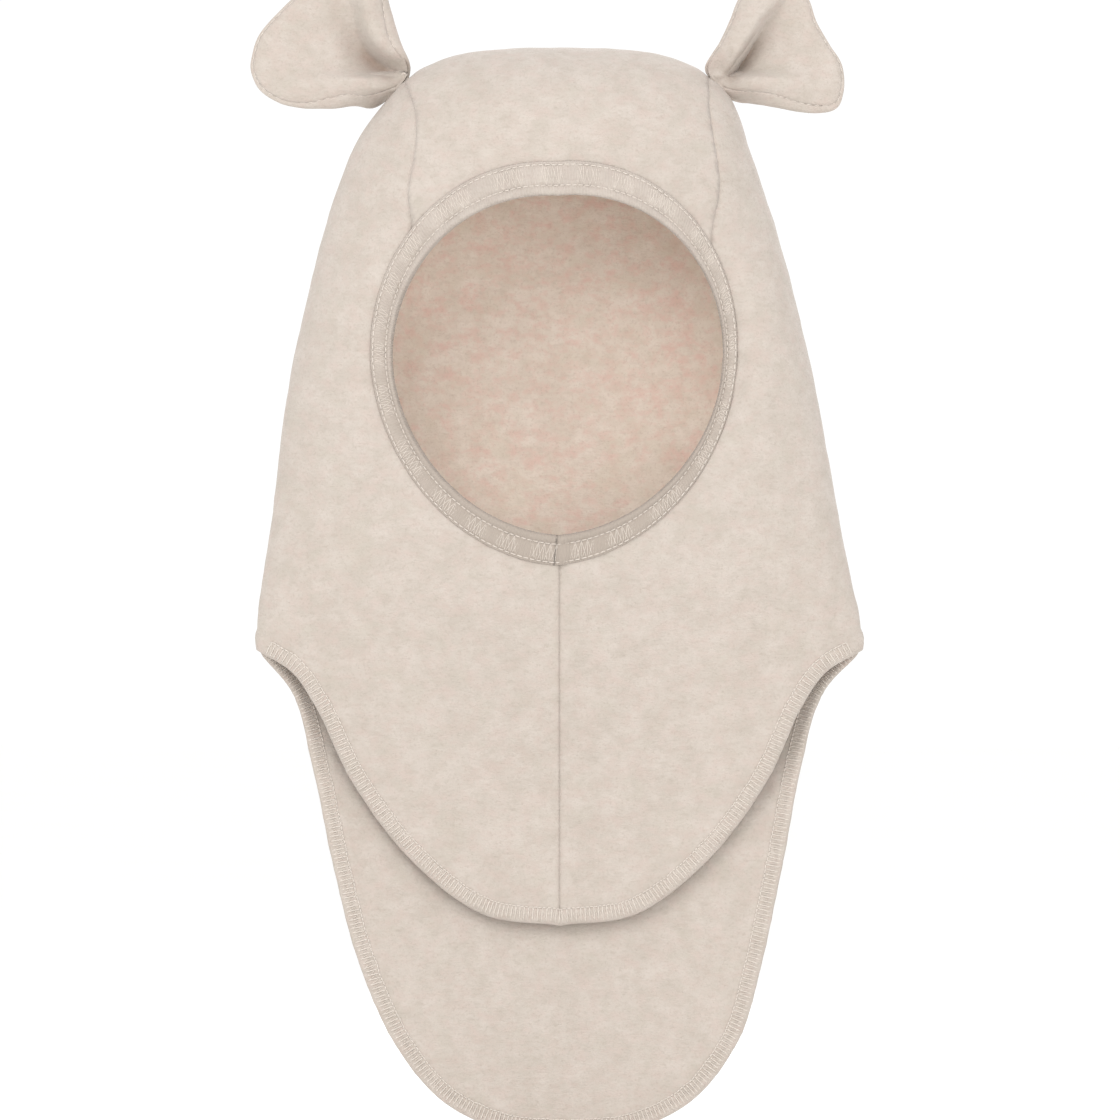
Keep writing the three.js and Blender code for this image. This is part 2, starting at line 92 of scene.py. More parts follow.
# Crown seams on the forehead and temples, as drop and distance from the middle
CROWN_SEAM = {
    -1: [(10, 63.5), (19, 60), (26, 57.4), (38, 56.8), (49, 58.4), (60, 60), (71, 58.6), (140, 58)],
    1: [(10, 59.8), (24, 60.2), (37, 62.4), (52, 64.6), (61, 64.2), (70, 62), (84, 60), (140, 60)],
}
BACK_SEAM = [  # as height and distance from the middle
    (30, 61), (0, 60.4), (-40, 62.6), (-90, 73), (-140, 85), (-190, 101), (-222, 114), (-238, 120.2),
    (-280, 120.5),
]
SEAM_FIRMNESS = {"left": 0.12, "right": 0.28, "middle": 0.42, "back": 0.9}  # how deep a seam pulls in, and how dark the painted shade along it is

COLUMNS, ROWS = 248, 250  # of the hood's grid

# The ears' hinges, as distance from the middle and height, where the CAD part has them
HINGE = (62.308, -7.956)


# ---- Curves and small mathematics --------------------------------------------------------------
def smooth(low, high, value):
    share = np.clip((value - low) / (high - low), 0, 1)
    return share * share * (3 - 2 * share)


def bell(value, width):
    return np.exp(-((value / width) ** 2))


def unit(vectors):
    length = np.linalg.norm(vectors, axis=-1, keepdims=True)
    return vectors / np.maximum(length, 1e-12)


def run_along(line):
    """The distance along a line of points, at each of them."""
    return np.concatenate([[0], np.cumsum(np.linalg.norm(np.diff(line, axis=0), axis=1))])


def points_along(at, run, line):
    """A line's points at distances along it, given the distance at each of its own points."""
    return np.column_stack([np.interp(at, run, line[:, k]) for k in range(line.shape[1])])


def spline(points, count, closed=False):
    """Points spaced evenly along a centripetal Catmull-Rom curve through the given points."""
    given = np.array(points, float)
    if closed:
        ends = np.vstack([given[-1], given, given[0], given[1]])
    else:
        ends = np.vstack([2 * given[0] - given[1], given, 2 * given[-1] - given[-2]])
    share = np.linspace(0, 1, 40, endpoint=False)[:, None]
    pieces = []
    for a, b, c, d in zip(ends, ends[1:], ends[2:], ends[3:]):
        ab, bc, cd = (np.linalg.norm(q - p) ** 0.5 for p, q in ((a, b), (b, c), (c, d)))
        leave = ((b - a) / ab - (c - a) / (ab + bc) + (c - b) / bc) * bc
        arrive = ((c - b) / bc - (d - b) / (bc + cd) + (d - c) / cd) * bc
        pieces.append(
            (2 * share**3 - 3 * share**2 + 1) * b
            + (share**3 - 2 * share**2 + share) * leave
            + (3 * share**2 - 2 * share**3) * c
            + (share**3 - share**2) * arrive
        )
    pieces.append((given[0] if closed else given[-1])[None])
    line = np.vstack(pieces)
    run = run_along(line)
    at = np.linspace(0, run[-1], count, endpoint=not closed)
    return points_along(at, run, line)


def smooth_through(points):
    """A smooth function through [input, output] points, level beyond both ends."""
    x, y = np.array(points, float).T
    slope = np.zeros(len(x))
    slope[1:-1] = (y[2:] - y[:-2]) / (x[2:] - x[:-2])

    def value(at):
        at = np.clip(at, x[0], x[-1])
        i = np.clip(np.searchsorted(x, at, side="right") - 1, 0, len(x) - 2)
        span = x[i + 1] - x[i]
        s = (at - x[i]) / span
        bend = span * (slope[i] * s * (1 - s) ** 2 - slope[i + 1] * s**2 * (1 - s))
        return y[i] + (y[i + 1] - y[i]) * s**2 * (3 - 2 * s) + bend

    return value


def value_noise(points, scale, seed=0.0):
    """Smooth noise from -1 to 1 at each point, with bumps of about scale millimetres."""
    shifted = np.asarray(points) / scale + seed
    return np.array([noise.noise(Vector(p)) for p in shifted])


# ---- The form of the hood ----------------------------------------------------------------------
outline = spline(OUTLINE, 1400)
outline[:, 1] = np.maximum.accumulate(outline[:, 1])
front_depth = smooth_through(FRONT_DEPTH)
back_depth = smooth_through(BACK_DEPTH)
ring_power = smooth_through(RING_POWER)
bib_closing = smooth_through(BIB_CLOSING)
lean = smooth_through(LEAN)


def dome_share(drop):
    return np.sqrt(1 - (1 - np.minimum(drop / DOME_HEIGHT, 1)) ** 2)


def egg_share(right, up):
    """How much larger the opening is than an oval, in the direction of a unit vector."""
    return 1 + EGG[0] * np.abs(right) * up + EGG[1] * right * np.maximum(up, 0)


def opening_distance(x, z, center=RIM_CENTER, radii=RIM_RADII):
    """Roughly how far a point lies outside the face opening's rim in X and Z."""
    right, up = (x - center[0]) / radii[0], (z - center[1]) / radii[1]
    reach = np.maximum(np.hypot(right, up), 1e-6)
    return (reach / egg_share(right / reach, up / reach) - 1) * (radii[0] + radii[1]) / 2


def lean_shift(x, z, front):
    """How far the cloth lies to the side: its edges in the hood, and the whole back flap."""
    drop = CROWN_TOP - z
    half = np.interp(drop, outline[:, 1], outline[:, 0])
    edge = np.minimum(np.abs(x) / np.maximum(half, 1), 1) ** 6
    whole = np.where(front, 0, smooth(241, 300, drop))
    return lean(drop) * (edge + (1 - edge) * whole)


def face_roll(x, z):
    outside = np.maximum(opening_distance(x, z), 0)
    sideways = np.clip((x - RIM_CENTER[0]) / (RIM_RADII[0] + outside), -1, 1) ** 2
    depth = np.where(x < 0, FACE_ROLL[-1], FACE_ROLL[1])
    return depth * smooth(0.25, 1, sideways) * bell(outside, ROLL_REACH)


def soft_waves(x, z, front):
    """The gentle hollows and swells of hanging fleece."""
    slow = np.sin(x / 31 + z / 57 + 1.1) * np.sin(z / 43 - x / 90 + np.where(front, 0.4, 2.2))
    quick = np.sin(x / 17 - z / 33 + 0.7) * np.sin(z / 21 + x / 47)
    return 1.1 * slow + 0.45 * quick


def shaped(points):
    """Moves points of the plain rings to where the soft cloth lies."""
    x, y, z = points.T
    front = y < 0
    drop = CROWN_TOP - z
    away = smooth(0, 14, np.abs(y))
    calm = smooth(6, 30, np.abs(opening_distance(x, z))) * 0.7 + 0.3
    depth = soft_waves(x, z, front) * away * np.where(front, calm, 1.0)
    depth -= bib_closing(drop) * smooth(0, 6, np.abs(y))
    depth -= np.where(front, face_roll(x, z), 0) * smooth(0, 8, np.abs(y))
    moved = points.copy()
    moved[:, 0] = x + lean_shift(x, z, front)
    moved[:, 1] = y + np.where(front, -depth, depth)
    return moved


def front_point(x, z):
    """The point of the front's outside at a place in X and Z."""
    x, z = np.broadcast_arrays(np.asarray(x, float), np.asarray(z, float))
    drop = CROWN_TOP - z
    half = np.interp(drop, outline[:, 1], outline[:, 0])
    power = ring_power(drop)
    inside = np.clip(1 - np.abs(x / half) ** power, 0, 1)
    y = -front_depth(drop) * dome_share(drop) * inside ** (1 / power)
    return shaped(np.column_stack([x.ravel(), y.ravel(), z.ravel()]))


def ring_angles():
    """Angles of the grid's columns, evenly spaced round the ring at the cheeks."""
    quarter = np.linspace(0, np.pi / 2, 400)
    half_width, depth, power = OUTLINE[6][0], FRONT_DEPTH[0][1], 2 / RING_POWER[0][1]
    x = half_width * np.cos(quarter) ** power
    y = depth * np.sin(quarter) ** power
    run = run_along(np.column_stack([x, y]))
    angles = np.interp(np.linspace(0, run[-1], COLUMNS // 4 + 1), run, quarter)
    half = np.concatenate([angles, np.pi - angles[-2::-1]])
    return np.concatenate([half, np.pi + half[1:]])


angle_table = ring_angles()


def hood_points(column, row):
    """Points of the hood for places in the grid of columns round it and rows down it."""
    angle = np.interp(column % COLUMNS, np.arange(COLUMNS + 1), angle_table)
    step = row / ROWS * (len(outline) - 1)
    half = np.interp(step, np.arange(len(outline)), outline[:, 0])
    drop = np.interp(step, np.arange(len(outline)), outline[:, 1])
    c, s = np.cos(angle), np.sin(angle)
    power = 2 / ring_power(drop)
    depth = np.where(s < 0, front_depth(drop), back_depth(drop)) * dome_share(drop)
    x = half * np.sign(c) * np.abs(c) ** power
    y = depth * np.sign(s) * np.abs(s) ** power
    return np.column_stack([x, y, CROWN_TOP - drop])


# ---- Borders of the panels ---------------------------------------------------------------------
class Graph:
    """A line given by one coordinate as a function of the other, with distances to it."""

    def __init__(self, line):
        order = np.argsort(line[:, 0])
        self.at, self.value = line[order, 0], line[order, 1]

    def level(self, at):
        return np.interp(at, self.at, self.value)

    def distance(self, at, value):
        slope = np.interp(at, self.at, np.gradient(self.value, self.at))
        return (value - self.level(at)) / np.sqrt(1 + np.clip(slope, -6, 6) ** 2)


bib_line = spline(BIB_HEM, 300)
flap_line = spline(FLAP_HEM, 400)
bib_border = Graph(bib_line)
flap_border = Graph(flap_line)
crown_border = {
    sign: Graph(spline([(CROWN_TOP - drop, x) for drop, x in line], 200))
    for sign, line in CROWN_SEAM.items()
}
back_border = Graph(spline(BACK_SEAM, 200))


def above_hem(points):
    x, y, z = np.abs(points[:, 0]), points[:, 1], points[:, 2]
    bib = bib_border.distance(x, z)
    flap = flap_border.distance(x, z)
    return np.where(y < 0, bib, flap) - HEM_ROUND


def outside_opening(points):
    x, y, z = points.T
    distance = opening_distance(x, z, (0, RIM_CENTER[1])) - CLOTH_CUT
    return np.where(y < 0, distance, 1e3)


def beyond_crown_seam(points, sign):
    """Distance past the crown seam on one side, towards that side."""
    x, y, z = sign * points[:, 0], points[:, 1], points[:, 2]
    above_face = z > RIM_CENTER[1]
    forehead = crown_border[sign].distance(z, x)
    middle = x + CORNER_FILL * smooth(CORNER_FROM, CORNER_TO, z)
    front = np.where(above_face, forehead, middle)
    return np.where(y < 0, front, back_border.distance(z, x))


def crown_back_borders(points):
    seam = np.minimum(-beyond_crown_seam(points, 1), -beyond_crown_seam(points, -1))
    below_face = (points[:, 1] < 0) & (points[:, 2] < RIM_CENTER[1])
    return np.where(below_face, -20.0, seam), above_hem(points), outside_opening(points)


def side_borders(points, sign):
    return beyond_crown_seam(points, sign), above_hem(points), outside_opening(points)


# ---- Meshes ------------------------------------------------------------------------------------
def add_object(name, data):
    made = bpy.data.objects.new(name, data)
    bpy.context.scene.collection.objects.link(made)
    return made


def make_object(name, points, faces, material, values=None):
    """A smooth mesh object in metres, with one value per point for each named attribute."""
    mesh = bpy.data.meshes.new(name)
    mesh.from_pydata((np.asarray(points) * MM).tolist(), [], [list(map(int, f)) for f in faces])
    for key, numbers in (values or {}).items():
        attribute = mesh.attributes.new(key, "FLOAT", "POINT")
        attribute.data.foreach_set("value", np.asarray(numbers, np.float32))
    mesh.shade_smooth()
    mesh.materials.append(material)
    return add_object(name, mesh)


def point_normals(points, triangles):
    a, b, c = (points[triangles[:, k]] for k in range(3))
    face = np.cross(b - a, c - a)
    total = np.zeros_like(points)
    for k in range(3):
        np.add.at(total, triangles[:, k], face)
    return unit(total)


def grid_quads(rows, columns, wrap_rows=False, wrap_columns=False):
    """The corners of each cell in a grid of points that may close on itself either way."""
    last_row, last_column = rows - (not wrap_rows), columns - (not wrap_columns)
    row, column = np.meshgrid(np.arange(last_row), np.arange(last_column), indexing="ij")
    here, below = row * columns, (row + 1) % rows * columns
    beside = (column + 1) % columns
    corners = [here + column, here + beside, below + beside, below + column]
    return np.stack(corners, -1).reshape(-1, 4)


def without_slivers(triangles):
    a, b, c = triangles.T
    return triangles[(a != b) & (b != c) & (a != c)]


def grid_triangles():
    quads = grid_quads(ROWS + 1, COLUMNS, wrap_columns=True)
    quads[quads < COLUMNS] = 0  # the first row is the single point at the crown top
    flipped = ((quads[:, 0] + quads[:, 0] // COLUMNS) % 2).astype(bool)[:, None]
    first = np.where(flipped, quads[:, [0, 1, 2]], quads[:, [0, 1, 3]])
    second = np.where(flipped, quads[:, [0, 2, 3]], quads[:, [1, 2, 3]])
    return without_slivers(np.vstack([first, second]))


all_triangles = grid_triangles()


def triangle_edges(triangles):
    return np.vstack([triangles[:, pair] for pair in ([0, 1], [1, 2], [2, 0])])


def cut_panel(borders):
    """The grid's triangles inside all borders. Grid points next to a border are moved onto it."""
    row, column = np.divmod(np.arange((ROWS + 1) * COLUMNS, dtype=float), COLUMNS)
    inside = np.min(borders(hood_points(column, row)), axis=0)
    edges = np.unique(np.sort(triangle_edges(all_triangles), axis=1), axis=0)
    for _ in range(6):
        a, b = edges[inside[edges[:, 0]] * inside[edges[:, 1]] < 0].T
        if len(a) == 0:
            break
        share = inside[a] / (inside[a] - inside[b])
        near, far = np.where(share < 0.5, a, b), np.where(share < 0.5, b, a)
        share = np.minimum(share, 1 - share)
        order = np.argsort(-share)
        near, far, share = near[order], far[order], share[order]
        turn = (column[far] - column[near] + COLUMNS / 2) % COLUMNS - COLUMNS / 2
        moved_column, moved_row = column.copy(), row.copy()
        moved_column[near] = column[near] + share * turn
        moved_row[near] = row[near] + share * (row[far] - row[near])
        column, row = moved_column, moved_row
        inside[near] = 0
    corners = inside[all_triangles]
    kept = (corners >= 0).all(axis=1) & (corners > 0).any(axis=1)
    triangles = all_triangles[kept]
    used, triangles = np.unique(triangles, return_inverse=True)
    return hood_points(column[used], row[used]), triangles.reshape(-1, 3)


def border_edges(triangles):
    """Directed edges that only one triangle has."""
    edges = triangle_edges(triangles)
    size = triangles.max() + 1
    forward = edges[:, 0] * size + edges[:, 1]
    backward = edges[:, 1] * size + edges[:, 0]
    return edges[~np.isin(forward, backward)]


def seam_firmness(plain):
    x, back = plain[:, 0], plain[:, 1] >= 0
    which = [SEAM_FIRMNESS[name] for name in ("back", "left", "right")]
    return np.select([back, x < -30, x > 30], which, SEAM_FIRMNESS["middle"])


def cloth_relief(plain, seam, hem, firmness):
    """How far seams, puckers, hem stitches and uneven wool raise or sink the cloth."""
    along = plain @ np.array([0.35, 0.2, 1.0])
    pucker = np.sin(along / 2.1 + 2 * value_noise(plain, 22)) * np.exp(-np.abs(seam) / 6)
    groove = firmness * (-0.85 * bell(seam, 1.3) + 0.3 * bell(seam - 4.5, 3.2)) + 0.1 * pucker
    edge = -0.5 * bell(hem, 1.4) + 0.3 * bell(hem - 3.6, 1.8) - 0.4 * bell(hem - STITCH_FAR, 1.0)
    lumps = 0.22 * value_noise(plain, 9) + 0.12 * value_noise(plain, 4.5, 7.3)
    return groove + edge + lumps


def inside_tint_and_painted_light(plain):
    """1 inside the hood and 0 below it: the share of the pinker inside colour with its painted light,
    less behind the face.
    """
    hooded = smooth(-250, -205, plain[:, 2])
    return hooded * (1 - 0.34 * bell(np.hypot(plain[:, 0] / 52, (plain[:, 2] + 142) / 58), 1.0))


def fleece_shell(name, plain, triangles, borders, material):
    """A panel of cloth with its seam grooves, puckers and rounded edges, closed all round, and painted
    shade along its seams.
    """
    seam, hem, _ = borders(plain)
    outer = shaped(plain)
    normals = point_normals(outer, triangles)
    if (normals * (outer - outer.mean(axis=0))).sum() < 0:
        triangles = triangles[:, ::-1]
        normals = -normals
    firmness = seam_firmness(plain)
    outer = outer + normals * cloth_relief(plain, seam, hem, firmness)[:, None]
    normals = point_normals(outer, triangles)
    thickness = CLOTH - 0.5 * bell(hem, 1.6) - 0.3 * bell(seam, 1.5)
    inner = outer - normals * thickness[:, None]
    edges = border_edges(triangles)
    direction = np.zeros_like(outer)
    sideways = np.cross(outer[edges[:, 1]] - outer[edges[:, 0]], normals[edges[:, 0]])
    np.add.at(direction, edges[:, 0], unit(sideways))
    np.add.at(direction, edges[:, 1], unit(sideways))
    at_border = np.unique(edges)
    round_by = np.where(hem[at_border] < 0.5, HEM_ROUND, 0.05)
    middle = (outer + inner)[at_border] / 2 + unit(direction[at_border]) * round_by[:, None]
    count = len(outer)
    ring = np.full(count, -1)
    ring[at_border] = np.arange(len(at_border)) + 2 * count
    a, b = edges.T
    faces = np.vstack([triangles, triangles[:, ::-1] + count]).tolist()
    faces += np.column_stack([b, a, ring[a], ring[b]]).tolist()
    faces += np.column_stack([ring[b], ring[a], a + count, b + count]).tolist()
    points = np.vstack([outer, inner, middle])
    # The inner faces get the inside's pinker colour and its painted light.
    inside = np.concatenate([np.zeros(count), inside_tint_and_painted_light(plain), np.zeros(len(middle))])
    # Painted shade: the colour darkens along the seams, more where a seam pulls in more; it goes to the
    # groove attribute.
    shade = np.clip(1 - 0.35 * firmness * bell(seam, 0.9), 0, 1)
    shade = np.concatenate([shade, shade, np.ones(len(middle))])
    return make_object(name, points, faces, material, {"inside": inside, "groove": shade})


# ---- Materials ---------------------------------------------------------------------------------
def linear(red, green, blue):
    """A colour given in display values from 0 to 255, as the shader's linear colour."""
    shares = np.array([red, green, blue]) / 255
    return (*np.where(shares <= 0.04045, shares / 12.92, ((shares + 0.055) / 1.055) ** 2.4), 1.0)


class Nodes:
    """Short calls for building a node material."""

    def __init__(self, name, roughness, sheen):
        self.material = bpy.data.materials.new(name)
        self.material.use_nodes = True
        self.tree = self.material.node_tree
        self.shader = self.tree.nodes["Principled BSDF"]
        fixed = {"Roughness": roughness, "Specular IOR Level": 0.2, "Sheen Roughness": 0.6}
        for key, value in {**fixed, "Sheen Weight": sheen}.items():
            self.shader.inputs[key].default_value = value
        self.place = self.node("ShaderNodeTexCoord").outputs["Object"]

    def node(self, kind, **inputs):
        made = self.tree.nodes.new(kind)
        for key, value in inputs.items():
            self.set(made, key.replace("_", " "), value)
        return made

    def set(self, node, key, value):
        socket = node.inputs[key]
        if isinstance(value, bpy.types.NodeSocket):
            self.tree.links.new(value, socket)
        else:
            socket.default_value = value

    def stretched(self, factors):
        mapping = self.node("ShaderNodeMapping", Vector=self.place, Scale=factors)
        return mapping.outputs["Vector"]

    def noise(self, scale, detail=3.0, roughness=0.55, vector=None):
        made = self.node("ShaderNodeTexNoise", Scale=scale, Detail=detail, Roughness=roughness)
        self.set(made, "Vector", vector or self.place)
        return made.outputs["Fac"]

    def range(self, value, low, high, to_low, to_high):
        spans = {"From_Min": low, "From_Max": high, "To_Min": to_low, "To_Max": to_high}
        return self.node("ShaderNodeMapRange", Value=value, **spans).outputs["Result"]

    def mix(self, factor, first, second, blend="MIX"):
        made = self.tree.nodes.new("ShaderNodeMix")
        made.data_type = "RGBA"
        made.blend_type = blend
        for index, value in ((0, factor), (6, first), (7, second)):  # its sockets for colours
            self.set(made, index, value)
        return made.outputs[2]

    def attribute(self, name):
        made = self.tree.nodes.new("ShaderNodeAttribute")
        made.attribute_name = name
        return made.outputs["Fac"]

    def math(self, operation, first, second=0.0):
        made = self.tree.nodes.new("ShaderNodeMath")
        made.operation = operation
        self.set(made, 0, first)
        self.set(made, 1, second)
        return made.outputs[0]

    def finish(self, color, height, distance, strength=0.8):
        self.set(self.shader, "Base Color", color)
        bump = self.node("ShaderNodeBump", Height=height, Distance=distance, Strength=strength)
        self.set(self.shader, "Normal", bump.outputs["Normal"])
        return self.material


def heather(n, light, middle, dark, warm, warmth):
    """The mixed fibres of heathered wool: soft blotches, short strokes and fine specks."""
    light, middle, dark, warm = (linear(*shade) for shade in (light, middle, dark, warm))
    greenish = (middle[0] * 0.965, middle[1], middle[2] * 0.965, 1.0)
    blotches = n.noise(105, 5, 0.66)
    strokes = n.noise(1.0, 3, 0.6, n.stretched((240, 240, 560)))
    specks = n.noise(1050, 2, 0.6)
    pink = n.noise(1.0, 4, 0.62, n.stretched((165, 165, 230)))
    cool = n.noise(1.0, 3, 0.6, n.stretched((70, 70, 95)))
    color = n.mix(n.range(blotches, 0.38, 0.62, 0, 1), middle, light)
    color = n.mix(n.range(strokes, 0.5, 0.72, 0, 0.32), color, dark)
    color = n.mix(n.range(pink, 0.45, 0.68, 0, warmth), color, warm)
    color = n.mix(n.range(cool, 0.52, 0.7, 0, 0.6 * warmth), color, greenish)
    return n.mix(n.range(specks, 0.54, 0.72, 0, 0.4), color, dark)


def nap(n):
    """The height of brushed fibres."""
    strands = n.noise(1.0, 4, 0.6, n.stretched((420, 420, 1300)))
    tufts = n.noise(330, 3, 0.6)
    return n.math("ADD", n.math("MULTIPLY", strands, 0.6), n.math("MULTIPLY", tufts, 0.5))


def fleece_material(name, inside_attribute=True):
    n = Nodes(name, 0.95, 0.2)
    color = heather(n, (191, 181, 172), (182, 172, 162), (164, 152, 140), (188, 171, 162), 0.55)
    if inside_attribute:
        # The hood's inside: pinker brushed fleece, painted much lighter to stand for light inside the
        # deep hood.
        inside = heather(n, (240, 226, 212), (230, 214, 198), (206, 184, 166), (233, 198, 184), 0.8)
        color = n.mix(n.attribute("inside"), color, inside)
    # Painted shade: where the groove attribute is below 1, along the seams and in the ears' pleats, the
    # colour is darkened.
    shadow = n.mix(1.0, color, linear(188, 170, 158), "MULTIPLY")
    color = n.mix(n.attribute("groove"), shadow, color)
    n.set(n.shader, "Roughness", n.range(n.noise(240), 0.3, 0.7, 0.88, 1.0))
    return n.finish(color, nap(n), 0.0006, 0.75)


RIB_WIDTH = 1.15  # of the binding's knit


def knit_material():
    n = Nodes("knit_binding", 0.9, 0.15)
    color = heather(n, (191, 181, 172), (181, 171, 162), (163, 150, 139), (184, 170, 162), 0.4)
    around = n.attribute("around")
    rib = n.math("SINE", n.math("MULTIPLY", around, 2 * np.pi / RIB_WIDTH))
    # Painted shade: the colour is darker in the troughs between the ribs.
    color = n.mix(n.range(rib, -1, -0.2, 0.16, 0), color, linear(168, 152, 139))
    # Painted shade: the knit darkens towards the chin, at the bottom of the opening.
    color = n.mix(n.range(n.attribute("chin"), 0, 1, 0, 0.8), color, linear(162, 150, 139))
    height = n.math("ADD", n.math("MULTIPLY", rib, 0.22), n.math("MULTIPLY", n.noise(900, 3), 0.5))
    n.set(n.shader, "Roughness", n.range(n.noise(500), 0.3, 0.7, 0.82, 0.98))
    return n.finish(color, height, 0.0005, 0.8)


def thread_material():
    n = Nodes("sewing_thread", 0.7, 0.1)
    twist = n.noise(2200, 2, 0.5)
    color = n.mix(n.range(twist, 0.35, 0.65, 0, 1), linear(200, 190, 180), linear(217, 208, 199))
    n.set(n.shader, "Roughness", n.range(n.noise(1200), 0.3, 0.7, 0.55, 0.8))
    return n.finish(color, twist, 0.0002, 0.7)


def label_material():
    n = Nodes("woven_tape", 0.7, 0.05)
    weave = n.node("ShaderNodeTexWave", Scale=900.0, Distortion=0.6)
    weave.bands_direction = "Z"
    n.set(weave, "Vector", n.place)
    ribs = weave.outputs["Fac"]
    color = n.mix(n.range(ribs, 0, 1, 0, 1), linear(212, 208, 200), linear(226, 223, 217))
    n.set(n.shader, "Roughness", n.range(ribs, 0, 1, 0.55, 0.75))
    return n.finish(color, ribs, 0.0002, 0.6)


fleece = fleece_material("brushed_fleece")
lining = fleece_material("ear_fleece", inside_attribute=False)
knit = knit_material()
thread = thread_material()
tape = label_material()


# ---- The three panels --------------------------------------------------------------------------
PANELS = {  # borders, CAD node, flat size and flat area of the cut in metres
    "crown_back": (crown_back_borders, "crown_back_panel", (0.25, 0.55), 0.088),
    "left_side": (lambda p: side_borders(p, -1), "left_side_panel", (0.15, 0.36), 0.0315),
    "right_side": (lambda p: side_borders(p, 1), "right_side_panel", (0.15, 0.36), 0.0315),
}


def finish_piece(piece, body, slot, *nodes):
    if nodes:
        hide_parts(*nodes)
    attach(piece, body)


def sew(name, mesh, body, *nodes):
    """A piece of thread from points and faces."""
    finish_piece(make_object(name, *mesh, thread), body, "thread", *nodes)


def sew_panels():
    """Makes the three panels and a search tree of their surface, in millimetres."""
    points, faces = [], []
    for name, (borders, node, flat, area) in PANELS.items():
        plain, triangles = cut_panel(borders)
        panel = fleece_shell(name + "_fleece", plain, triangles, borders, fleece)
        finish_piece(panel, "hood", "fleece", node)
        start = len(points)
        points += [tuple(v.co / MM) for v in panel.data.vertices]
        faces += [[start + i for i in face.vertices] for face in panel.data.polygons]
    return BVHTree.FromPolygons(points, faces)


cloth_tree = sew_panels()
FRONT, BACK = -1, 1


def laid(x, z, side, inner=False, lift=0.0):
    """Points on the cloth at places in X and Z: on its outside, or on its inside, lifted off it."""
    x, z = np.broadcast_arrays(np.asarray(x, float), np.asarray(z, float))
    toward = Vector((0, -side, 0))
    points = np.zeros((x.size, 3))
    for i, (px, pz) in enumerate(zip(x.ravel(), z.ravel())):
        place, normal, _, _ = cloth_tree.ray_cast(Vector((px, 200.0 * side, pz)), toward)
        if place is None:
            place, normal, _, _ = cloth_tree.find_nearest(Vector((px, side * 4.0, pz)))
        elif inner:
            beneath, turned, _, _ = cloth_tree.ray_cast(place + toward * 0.4, toward)
            place, normal = (beneath, turned) if beneath else (place, normal)
        if normal.dot(toward) * (-1 if inner else 1) > 0:
            normal = -normal
        points[i] = place + normal * lift
    return points.reshape(*x.shape, 3)


# ---- Threads -----------------------------------------------------------------------------------
def joined(parts):
    """Several (points, faces) meshes as one."""
    points, faces, start = [], [], 0
    for part_points, part_faces in parts:
        points.append(part_points)
        faces += [[start + i for i in face] for face in part_faces]
        start += len(part_points)
    return np.vstack(points), faces


def tube_faces(rows, sides):
    """The faces of a tube of points, with a cap at each end."""
    faces = grid_quads(rows, sides, wrap_columns=True).tolist()
    start = (rows - 1) * sides
    return faces + [list(range(sides))[::-1], list(range(start, start + sides))]


def tubes(paths, radius, sides=5):
    """One mesh of closed tubes, one along each path of points."""
    parts = []
    angles = 2 * np.pi * np.arange(sides) / sides
    for path in paths:
        path = np.asarray(path, float)
        tangent = unit(np.gradient(path, axis=0))
        helper = np.array([0.0, 1.0, 0.0]) if abs(tangent[0, 1]) < 0.8 else np.array([1.0, 0.0, 0.0])
        across = unit(np.cross(tangent, helper))
        up = np.cross(across, tangent)
        ring = across[:, None] * np.cos(angles)[:, None] + up[:, None] * np.sin(angles)[:, None]
        points = (path[:, None] + radius * ring).reshape(-1, 3)
        parts.append((points, tube_faces(len(path), sides)))
    return joined(parts)


def along_line(line, pitch):
    """Places along a line in X and Z at an even pitch, with the unit vector to its upper side."""
    run = run_along(line)
    at = np.arange(pitch / 2, run[-1], pitch)
    tangent = unit(points_along(at, run, np.gradient(line, axis=0)))
    return points_along(at, run, line), np.column_stack([-tangent[:, 1], tangent[:, 0]])


STITCH_PITCH = 1.8
STITCH_END = 3.0  # from the shoulder tips
STITCH_LIFT = np.array([0.0, 0.16, 0.2, 0.17, 0.0])  # off the cloth, along a thread across the hem
THREAD = 0.27


def across_hem(start, end, side, inner, lift):
    """Paths on the cloth from each start to its end, raised by lift along the way."""
    way = start[:, None] + (end - start)[:, None] * np.linspace(0, 1, len(lift))[:, None]
    spots = laid(way[..., 0], way[..., 1], side, inner)
    off = laid(way[..., 0], way[..., 1], side, inner, 1.0) - spots
    return list(spots + off * lift[:, None])


def hem_stitches(hem, side):
    """Overlock stitches on both faces of a hem: threads across it, tied by needle stitches."""
    left = hem * np.array([-1.0, 1.0])
    line = np.vstack([left[:-1], hem[::-1]])
    place, inward = along_line(line, STITCH_PITCH)
    keep = TIP[0] - np.abs(place[:, 0]) > STITCH_END
    place, inward = place[keep], inward[keep]
    count = len(place)
    sway = np.array([[noise.noise(Vector((i * 0.37, side * 5.0, 0.0)))] for i in range(count)])
    along = np.column_stack([inward[:, 1], -inward[:, 0]])
    place[:, 0] += lean_shift(place[:, 0], place[:, 1], side == FRONT)
    near = place + inward * (STITCH_NEAR + 0.4 * sway) + along * 0.5 * sway[::-1]
    far = place + inward * (STITCH_FAR + 0.4 * sway[::-1]) + along * 0.25 * sway
    paths, fine = [], []
    for inner in (False, True):
        paths += across_hem(near, far, side, inner, STITCH_LIFT)
        fine += across_hem(near[1:], far[:-1], side, inner, 0.4 * STITCH_LIFT)
        dash = far[:-1, None] + (far[1:] - far[:-1])[:, None] * np.linspace(0.06, 0.94, 3)[:, None]
        paths += list(laid(dash[..., 0], dash[..., 1], side, inner, 0.12))
    return joined([tubes(paths, THREAD), tubes(fine, 0.6 * THREAD, 4)])


def add_hems():
    sew("bib_hem_overlock", hem_stitches(bib_line, FRONT), "hood", "bib_hem_stitch")
    sew("flap_hem_overlock", hem_stitches(flap_line, BACK), "hood", "flap_hem_stitch")


